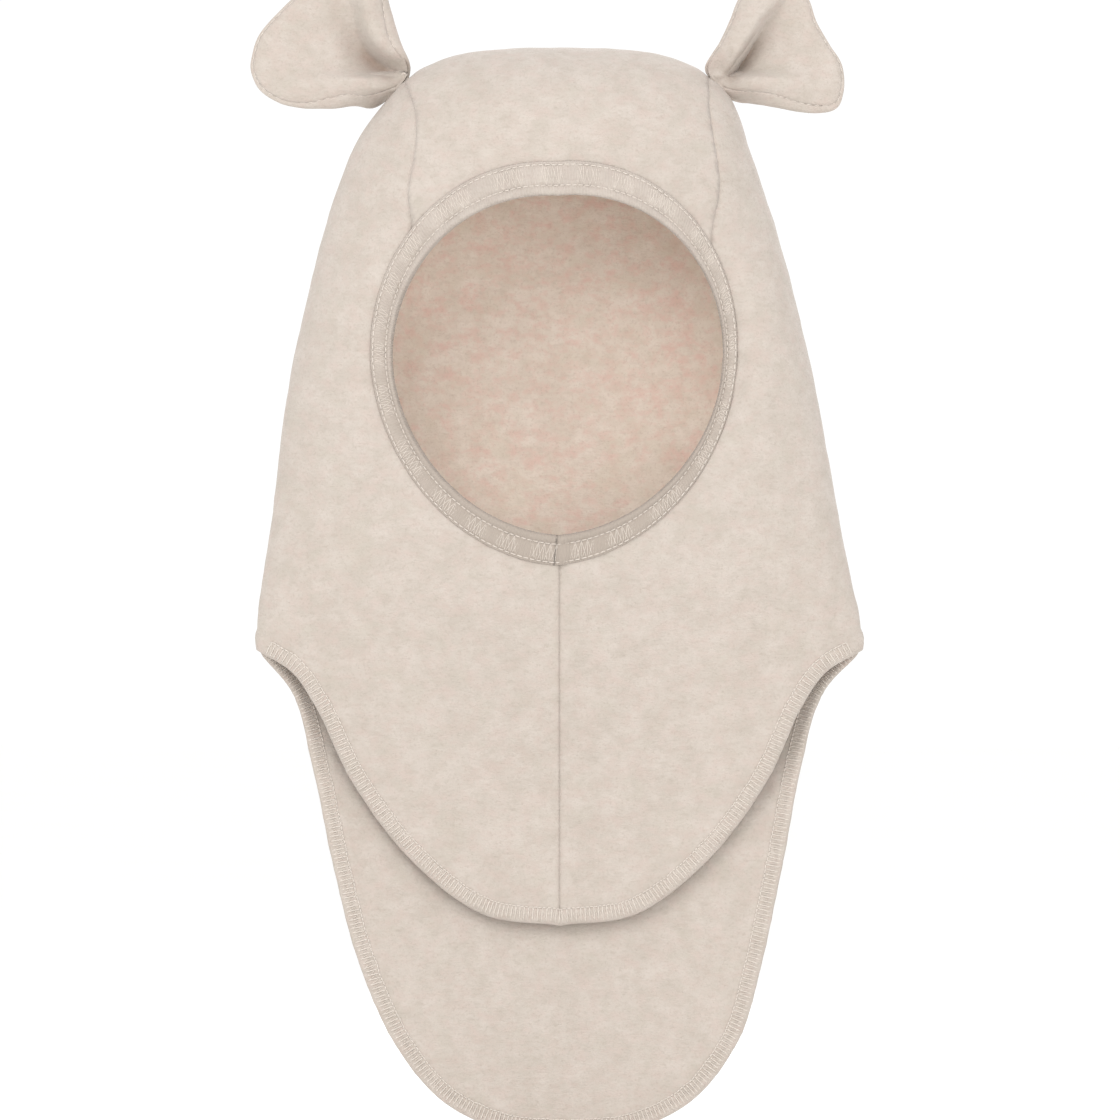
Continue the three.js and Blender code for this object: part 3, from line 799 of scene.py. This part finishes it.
# ---- The binding round the face ----------------------------------------------------------------
BAND_STEPS = 560
NEEDLE_PITCH = 2.5
NEEDLE_INNER, NEEDLE_OUTER = 0.29, 0.9  # as shares of the binding's width from the rim
COVER_SLANTS = (-0.42, 0.0, 0.42)  # of the crossing threads, in shares of the pitch
BAND_OUTSIDE = [  # share of the width from the rim, and height over the cloth
    (1.0, 0.1), (0.985, 0.75), (0.95, 1.05), (0.9, 0.75), (0.85, 1.15), (0.75, 1.5), (0.6, 1.7),
    (0.45, 1.6), (0.35, 1.3), (0.29, 0.9), (0.24, 1.45), (0.17, 2.1), (0.09, 2.3), (0.03, 1.8),
    (0.0, 0.8), (-0.01, -0.6), (0.0, -2.2), (0.04, -3.4), (0.1, -4.2), (0.2, -4.5), (0.45, -4.4),
    (0.7, -4.3), (0.88, -4.1), (0.9, -3.3), (0.6, -3.2), (0.25, -3.1), (0.15, -2.4), (0.15, -0.2),
    (0.25, 0.12), (0.6, 0.1),
]
JOIN_WIDTH = 4.6  # of the overlap where the binding's two ends meet under the chin


def band_place(angle, share):
    """The place in X and Z at an angle round the binding and a share of its width."""
    right, up = np.sin(angle), -np.cos(angle)
    egg = egg_share(right, up)
    rim_x = RIM_CENTER[0] + RIM_RADII[0] * egg * right
    rim_z = RIM_CENTER[1] + RIM_RADII[1] * egg * up
    edge_x = BAND_CENTER[0] + BAND_RADII[0] * egg * right
    edge_z = BAND_CENTER[1] + BAND_RADII[1] * egg * up
    return rim_x + share * (edge_x - rim_x), rim_z + share * (edge_z - rim_z)


def band_points(angle, share, height):
    """Points at a height over the cloth, on the binding."""
    x, z = band_place(angle, share)
    step = 0.5
    here = front_point(x, z)
    right = front_point(x + step, z) - here
    up = front_point(x, z + step) - here
    normal = unit(np.cross(right, up))
    radial = np.column_stack([np.sin(angle).ravel(), np.zeros(angle.size), -np.cos(angle).ravel()])
    normal = unit(normal - 0.5 * radial * (normal * radial).sum(axis=1)[:, None])
    return (here + normal * np.ravel(height)[:, None]).reshape(*angle.shape, 3)


def even_angles(count):
    fine = np.linspace(0, 2 * np.pi, 2000)
    run = run_along(np.column_stack(band_place(fine, 0.5)))
    return np.interp(np.linspace(0, run[-1], count, endpoint=False), run, fine), run[-1]


def add_binding():
    """The knitted strip. Angle 0 is under the chin, where its ends overlap."""
    angles, length = even_angles(BAND_STEPS)
    share, height = np.array(BAND_OUTSIDE).T
    angle = np.repeat(angles[:, None], len(share), axis=1)
    run = np.repeat(np.arange(BAND_STEPS)[:, None] * length / BAND_STEPS, len(share), axis=1)
    overlap = smooth(0, 0.5, run) * (1 - smooth(JOIN_WIDTH - 0.5, JOIN_WIDTH, run))
    shown = (height > 0.3)[None, :]
    join_line = bell(np.minimum(run, length - run), 0.55)
    heights = height[None, :] + shown * (0.45 * overlap - 0.5 * join_line)
    ripple = 0.12 * np.sin(run / 2.9 + 2 * np.sin(run / 17)) * shown
    points = band_points(angle, np.broadcast_to(share, angle.shape), heights + ripple)
    faces = grid_quads(BAND_STEPS, len(share), wrap_rows=True, wrap_columns=True)[:, [0, 3, 2, 1]]
    # chin is 1 under the chin and 0 at the top: how much painted shade the knit gets there.
    values = {"around": run.ravel(), "chin": (0.5 + 0.5 * np.cos(angle)).ravel()}
    binding = make_object("face_binding_knit", points.reshape(-1, 3), faces, knit, values)
    finish_piece(binding, "hood", "knit", "face_binding")
    add_binding_stitches(length)


def add_binding_stitches(length):
    """Two rows of needle stitches, and the thin threads that cross between them."""
    count = int(length / NEEDLE_PITCH)
    angles, _ = even_angles(count)
    turn = 2 * np.pi / count
    dash = angles[:, None] + turn * np.linspace(0.1, 0.9, 4)
    sink = np.array([-0.1, 0.22, 0.22, -0.1])
    for name, share, height, node in (
        ("binding_inner_needle_thread", NEEDLE_INNER, 1.05, "binding_inner_stitch"),
        ("binding_outer_needle_thread", NEEDLE_OUTER, 0.9, "binding_outer_stitch"),
    ):
        row = band_points(dash, share, np.broadcast_to(height + sink, dash.shape))
        sew(name, tubes(row, THREAD), "hood", node)
    steps = np.linspace(0, 1, 6)
    outside = np.array(BAND_OUTSIDE[:12])
    shares = NEEDLE_INNER + (NEEDLE_OUTER - NEEDLE_INNER) * steps
    heights = np.interp(shares, outside[::-1, 0], outside[::-1, 1]) - 0.03
    paths = []
    for slant in COVER_SLANTS:
        way = angles[:, None] + turn * (slant * (2 * steps - 1) + slant)
        paths += list(band_points(way, shares, np.broadcast_to(heights, way.shape)))
    sew("binding_cover_thread", tubes(paths, 0.13, 4), "hood")


# ---- Seam allowances inside --------------------------------------------------------------------
def inside_point(start, direction, lift):
    place, normal, _, _ = cloth_tree.ray_cast(Vector(start), Vector(direction))
    if place is None:
        place, normal, _, _ = cloth_tree.find_nearest(Vector(start))
    if normal.dot(Vector(direction)) > 0:
        normal = -normal
    return np.array(place + normal * lift)


ALLOWANCE = [  # distance from the seam, and height off the cloth, across a seam allowance
    (-3.0, 0.15), (-2.2, 0.9), (-1.0, 1.25), (0.0, 1.1), (1.0, 1.25), (2.2, 0.9), (3.0, 0.15),
]


def allowance(places):
    """The overlocked seam allowance along (start, direction) places inside the hood."""
    across = np.array([1.0, 0.0, 0.0])
    outline_above = ALLOWANCE + [(by, 0.08) for by, _ in ALLOWANCE[-2:0:-1]]
    strip = np.array([
        [inside_point(np.array(start) + across * by, direction, lift) for by, lift in outline_above]
        for start, direction in places
    ])
    top = strip[:, : len(ALLOWANCE)]
    share = np.linspace(0, 1, 5)[:, None]
    steps = np.arange(len(ALLOWANCE))
    paths = []
    for one, two in zip(top, top[1:]):
        for pair in ((one, two), (two, one)):
            leave, arrive = (points_along(share[:, 0] * steps[-1], steps, row) for row in pair)
            paths.append(leave * (1 - share) + arrive * share)
    tape_mesh = strip.reshape(-1, 3), tube_faces(len(strip), len(outline_above))
    return joined([tape_mesh, tubes(paths, 0.22, 4)])


DOME_SEAM = 59.0  # from the middle to the crown seam, over the top of the dome


def crown_seam_places(sign):
    """Where the crown seam's allowance lies: up the front, over the dome and down the back."""
    middle = CROWN_TOP - DOME_HEIGHT
    front_seam = crown_border[sign]
    places = []
    for z in np.arange(-56.0, middle - 1, 3.0):
        x = sign * front_seam.level(z)
        places.append(((x, 0, z), (0, -1, 0)))
    for angle in np.linspace(0.05, np.pi - 0.05, 26):
        bow = abs(np.cos(angle)) if angle < np.pi / 2 else 0.0
        seam_x = front_seam.level(middle)
        x = sign * (DOME_SEAM + (seam_x - DOME_SEAM) * bow)
        places.append(((x, 0, middle), (0, -np.cos(angle), np.sin(angle))))
    for z in np.arange(middle - 4, -206.0, -3.5):
        x = sign * back_border.level(z)
        places.append(((x, 0, z), (0, 1, 0)))
    return places


def add_allowances():
    for side, sign in (("left", -1), ("right", 1)):
        strip = allowance(crown_seam_places(sign))
        sew(f"{side}_crown_seam_overlock", strip, "hood", f"{side}_crown_seam")
    places = [((0, 0, z), (0, -1, 0)) for z in np.arange(-207.5, -341.0, -3.0)]
    sew("center_front_seam_overlock", allowance(places), "hood", "center_front_seam")


# ---- Care label --------------------------------------------------------------------------------
LABEL_SIZE = (24.0, 34.0)
LABEL_TOP = -223.0


def add_label():
    """A blank tape label that curls a little away from the cloth at its lower end."""
    columns, rows = 17, 25
    u, v = np.meshgrid(np.linspace(-0.5, 0.5, columns), np.linspace(0, 1, rows))
    x, z = u * LABEL_SIZE[0], LABEL_TOP - v * LABEL_SIZE[1]
    curl = 0.5 + 1.6 * v**2 + 0.2 * np.sin(v * 9 + u * 4)
    base = laid(x, z, BACK, inner=True)
    front = base.copy()
    front[..., 1] -= curl + 0.5
    back = base.copy()
    back[..., 1] -= curl
    points = np.vstack([front.reshape(-1, 3), back.reshape(-1, 3)])
    count = columns * rows
    quads = grid_quads(rows, columns)
    faces = quads[:, [0, 3, 2, 1]].tolist() + (quads[:, [1, 2, 3, 0]] + count).tolist()
    place = np.arange(count).reshape(rows, columns)
    for edge in (place[0], place[:, -1], place[-1, ::-1], place[::-1, 0]):
        faces += [(a, b, b + count, a + count) for a, b in zip(edge, edge[1:])]
    label = make_object("care_label_tape", points, faces, tape)
    finish_piece(label, "hood", "label", "care_label")


# ---- Ears --------------------------------------------------------------------------------------
# Outlines as outward and upward distance from the hinge, and how far inside it the rim seam lies
EAR_OUTLINE = {
    "left": [
        (-1.5, -2.4, 1), (-2.7, 3.4, 2), (0.1, 10.6, 3.5), (2.5, 17, 4), (6.1, 29.8, 3), (9.2, 39, 1.6),
        (17.3, 45.6, 1), (30.3, 43, 1), (45.3, 29.8, 1), (57.3, 17, 1), (60, 10.6, 1), (61.3, 2.6, 1.1),
        (58.1, -5.4, 1.5), (51.3, -10.6, 1.8), (41.3, -13.2, 2.2), (29.3, -13.6, 4.4), (19.3, -12.6, 5),
        (12.1, -13.2, 5.6), (4.8, -8.6, 3.4),
    ],
    "right": [
        (-1.2, -3.2, 1), (-4.2, 2.6, 1), (1.7, 13, 1), (6.1, 22.6, 1), (8.9, 29.8, 1), (14.1, 40, 1),
        (21.3, 45.2, 1), (29.3, 42, 1), (34.1, 35.8, 1), (37.7, 29.8, 1), (40.5, 21.4, 1),
        (46.3, 11.4, 1), (50.7, 4.2, 1), (51.7, -3, 1.2), (50.1, -11.4, 1.7), (47.3, -14.2, 2.6),
        (41.5, -15.4, 3.8), (34.1, -15, 4.4), (19.3, -12.2, 5), (6.1, -9.8, 4.6),
    ],
}
EAR_MIDDLE = {"left": (28.0, 10.0), "right": (25.0, 10.0)}
EAR_ROUND, EAR_RINGS = 168, 40
EAR_HALF_THICKNESS = 3.0
EAR_LAYER = 1.5
RIM_SINK = 0.1  # of the rim's sewing, into the cloth
RIM_SEWING_FROM = 11.0  # the nearest it shows to the root
CREASE = {  # distance from the root, direction of the pleat's valley in degrees, and its depth
    "left": [
        (0, 20, 1), (6, 25, 7), (14, 30, 10), (24, 40, 8), (32, 50, 5), (40, 55, 3), (60, 60, 1),
    ],
    "right": [
        (0, 8, 1), (5, 17, 7), (11, 36, 10), (20, 45, 8.5), (30, 49, 5.5), (36, 49, 3.5), (50, 49, 1),
    ],
}
RIDGE = {"left": -3.0, "right": -2.0}  # direction of the lower lobe's ridge
RIDGE_HEIGHT = [(0, 1.5), (6, 5.5), (15, 7.0), (26, 4.6), (38, 1.4), (60, 0)]


def ear_pleat(name, out, up):
    """Distance from the root, distance past the valley line, and the valley's depth there."""
    r = np.hypot(out, up + 1.0)
    angle = np.degrees(np.arctan2(up + 1.0, out))
    table = np.array(CREASE[name], float)
    valley = np.interp(r, table[:, 0], table[:, 1])
    deep = np.interp(r, table[:, 0], table[:, 2])
    return r, angle, r * np.sin(np.radians(np.clip(angle - valley, -90, 90))), deep


def ear_depth(name, out, up):
    """How far back the middle of the ear lies: a pleat at the root that opens to a cup."""
    r, angle, past, deep = ear_pleat(name, out, up)
    if name == "left":
        hollow = np.where(past > 0, bell(past, 3.4), bell(past, 3.0 + 0.24 * r))
        lobe = 4.6 * bell(past - 8.0, 6.0) * smooth(1, 12, r)
    else:
        hollow = (1 - smooth(-1.6, 1.6, past)) * bell(past, 4 + 0.25 * r)
        along = (1 - 0.8 * smooth(28, 44, r)) * smooth(1, 14, r)
        lobe = 4.8 * smooth(-1.6, 3.0, past) * bell(past - 3.5, 8) * along
    table = np.array(RIDGE_HEIGHT, float)
    ridge = np.interp(r, table[:, 0], table[:, 1])
    side = r * np.sin(np.radians(np.clip(angle - RIDGE[name], -90, 90)))
    ridge = ridge * np.where(side > 0, bell(side, 1.1 + 0.08 * r), bell(side, 8))
    cup = 2.8 * bell(np.hypot(out - 34, up - 12), 17)
    behind = 6.0 * smooth(-5, -13, up) * (1 - smooth(8, 26, out))
    return deep * hollow - lobe - ridge + cup + behind - 0.8


def ear_painted_shade(name, out, up):
    """Painted shade: 1 in the open, less in the depth of the pleat, where the lining's colour is
    darkened.
    """
    r, _, past, _ = ear_pleat(name, out, up)
    low = bell(past + 1.0, 1.8 + 0.12 * r) * np.where(past > 0, bell(past, 1.2), 1)
    return 1 - 0.7 * low * smooth(2, 9, r) * (1 - smooth(12, 30, r))


def ear_surface(name, sign):
    """A function for points of the ear, and the share at which its rim seam lies."""
    outline_points = spline(EAR_OUTLINE[name], EAR_ROUND, closed=True)
    edge, inset = outline_points[:, :2], outline_points[:, 2]
    middle = np.array(EAR_MIDDLE[name])
    reach = np.linalg.norm(edge - middle, axis=1)
    seam = 1 - inset / reach

    def surface(share, back):
        """share is from 0 in the middle to 1 at the outline, one row for each outline point."""
        place = middle + (edge - middle)[:, None] * share[..., None]
        out, up = place[..., 0], place[..., 1]
        half = EAR_HALF_THICKNESS * (1 - np.clip(share, 0, 1) ** 7) ** 0.5
        pinch = 0.45 + 0.55 * smooth(2, 16, np.hypot(out, up))
        groove = 0.5 * bell((share - seam[:, None]) * reach[:, None], 0.9)
        front = -half * pinch + groove
        depth = ear_depth(name, out, up) + np.where(back, half * pinch, front)
        return np.stack([sign * (HINGE[0] + out), depth, HINGE[1] + up], -1)

    return surface, seam


def ear_layer_mesh(outer, middle_first):
    """Points and triangles of a grid. One end of each of its rows is the ear's middle."""
    around, count = outer.shape[:2]
    flat = outer.reshape(-1, 3)
    quads = grid_quads(around, count, wrap_rows=True)
    triangles = np.vstack([quads[:, [0, 3, 2]], quads[:, [0, 2, 1]]])
    middle_column = 0 if middle_first else count - 1
    middle_points = np.arange(around) * count + middle_column
    same = np.arange(len(flat))
    same[middle_points] = middle_points[0]
    used, triangles = np.unique(without_slivers(same[triangles]), return_inverse=True)
    return flat[used], triangles.reshape(-1, 3)


def closed_layer(points, triangles):
    """A closed layer of cloth inside a surface."""
    inner = points - point_normals(points, triangles) * EAR_LAYER
    edges = border_edges(triangles)
    count = len(points)
    faces = np.vstack([triangles, triangles[:, ::-1] + count]).tolist()
    a, b = edges.T
    faces += np.column_stack([b, a, a + count, b + count]).tolist()
    return np.vstack([points, inner]), faces


def add_ear(name):
    """The two layers of an ear, and the sewing along its rim seam."""
    sign = -1 if name == "left" else 1
    surface, seam = ear_surface(name, sign)
    rings = np.linspace(0, 1, EAR_RINGS)
    front_share = seam[:, None] * rings
    front = surface(front_share, False)
    wrap = seam[:, None] + (1 - seam[:, None]) * np.linspace(0, 1, 8)
    behind = np.broadcast_to(1 - (1 - rings[::-1]) ** 1.5, (EAR_ROUND, EAR_RINGS))[:, 1:]
    back = np.concatenate([surface(wrap, False), surface(behind, True)], axis=1)
    for kind, grid, first, material, slot, cad_name, area in (
        ("front", front, True, lining, "ear_lining", "lining", 0.0031),
        ("rear", back, False, fleece, "fleece", "back", 0.0038),
    ):
        points, triangles = ear_layer_mesh(grid, first)
        lumps = 0.2 * value_noise(points, 8, 3.1) + 0.1 * value_noise(points, 4, 9.7)
        normals = point_normals(points, triangles)
        wanted = -1.0 if kind == "front" else 1.0
        if wanted * normals[:, 1].sum() < 0:
            triangles, normals = triangles[:, ::-1], -normals
        points = points + normals * lumps[:, None]
        points, faces = closed_layer(points, triangles)
        out, up = sign * points[:, 0] - HINGE[0], points[:, 2] - HINGE[1]
        # Painted shade in the pleat of the lining; the back layer gets none.
        shade = ear_painted_shade(name, out, up) if kind == "front" else np.ones(len(points))
        values = {"inside": np.zeros(len(points)), "groove": shade}
        layer = make_object(f"{name}_ear_{kind}_fleece", points, faces, material, values)
        finish_piece(layer, f"{name}_ear", slot, f"{name}_ear_{cad_name}")
    rim = surface(seam[:, None], False)[:, 0] + np.array([0, RIM_SINK, 0])
    root = np.array([sign * HINGE[0], 0, HINGE[1]])
    dashes = [rim[i : i + 3] for i in range(0, EAR_ROUND - 3, 3)]
    dashes = [dash for dash in dashes if np.linalg.norm((dash[1] - root)[[0, 2]]) > RIM_SEWING_FROM]
    sew(f"{name}_ear_rim_thread", tubes(dashes, 0.2, 5), f"{name}_ear", f"{name}_ear_rim_seam")


def add_tack(name):
    """The wound thread that holds the ear's pleat, inside its root."""
    sign = -1 if name == "left" else 1
    turns, radius, half_length = 6, 0.7, 1.0
    angle = np.linspace(0, 2 * np.pi * turns, 16 * turns)
    path = np.column_stack([
        sign * HINGE[0] + radius * np.cos(angle),
        np.linspace(-half_length, half_length, len(angle)),
        HINGE[1] + radius * np.sin(angle),
    ])
    sew(f"{name}_ear_tack_thread", tubes([path], 0.25, 6), "hood", f"{name}_ear_root_tack")


add_hems()
add_binding()
add_allowances()
add_label()
for side in ("left", "right"):
    add_ear(side)
    add_tack(side)


# ---- Floor, light and camera -------------------------------------------------------------------
LAMPS = (  # name, place and size in metres, and power in watts
    ("key_softbox", (-0.6, -1.6, 0.9), 1.2, 13.0),
    ("fill_softbox", (0.7, -1.9, -0.1), 1.5, 9.0),
    ("back_softbox", (0.5, 1.9, 0.7), 1.5, 16.0),
)
OBJECT_MIDDLE = Vector((0, 0, -0.18))
CAMERA_DISTANCE = 7.0  # so far that a photograph's flat look comes out
VIEW_WIDTH = 0.448  # of the photograph, at the object


def stage_and_light():
    low = cad_box[0].z
    bpy.ops.mesh.primitive_plane_add(size=30, location=(0, 0, low - 0.0005))
    floor = bpy.context.object
    floor.name = "studio_floor"
    n = Nodes("floor_white", 0.9, 0.0)
    tone = n.mix(n.noise(3.0), linear(250, 250, 249), linear(253, 253, 252))
    floor.data.materials.append(n.finish(tone, n.noise(40.0), 0.0001, 0.1))
    world = bpy.data.worlds.new("studio")
    world.use_nodes = True
    background = world.node_tree.nodes["Background"]
    background.inputs["Color"].default_value = (1, 1, 1, 1)
    background.inputs["Strength"].default_value = 1.04
    bpy.context.scene.world = world
    for name, place, size, power in LAMPS:
        lamp = bpy.data.lights.new(name, "AREA")
        lamp.shape = "DISK"
        lamp.size = size
        lamp.energy = power
        made = add_object(name, lamp)
        made.location = place
        aim = OBJECT_MIDDLE - Vector(place)
        made.rotation_euler = aim.to_track_quat("-Z", "Y").to_euler()


def add_camera():
    data = bpy.data.cameras.new("camera")
    data.sensor_width = 36
    data.lens = data.sensor_width * CAMERA_DISTANCE / VIEW_WIDTH
    camera = add_object("camera", data)
    camera.location = (0.0002, -CAMERA_DISTANCE, -0.202)
    camera.rotation_euler = (np.pi / 2, 0, 0)
    bpy.context.scene.camera = camera


stage_and_light()
add_camera()
bpy.context.scene.view_settings.view_transform = "Standard"
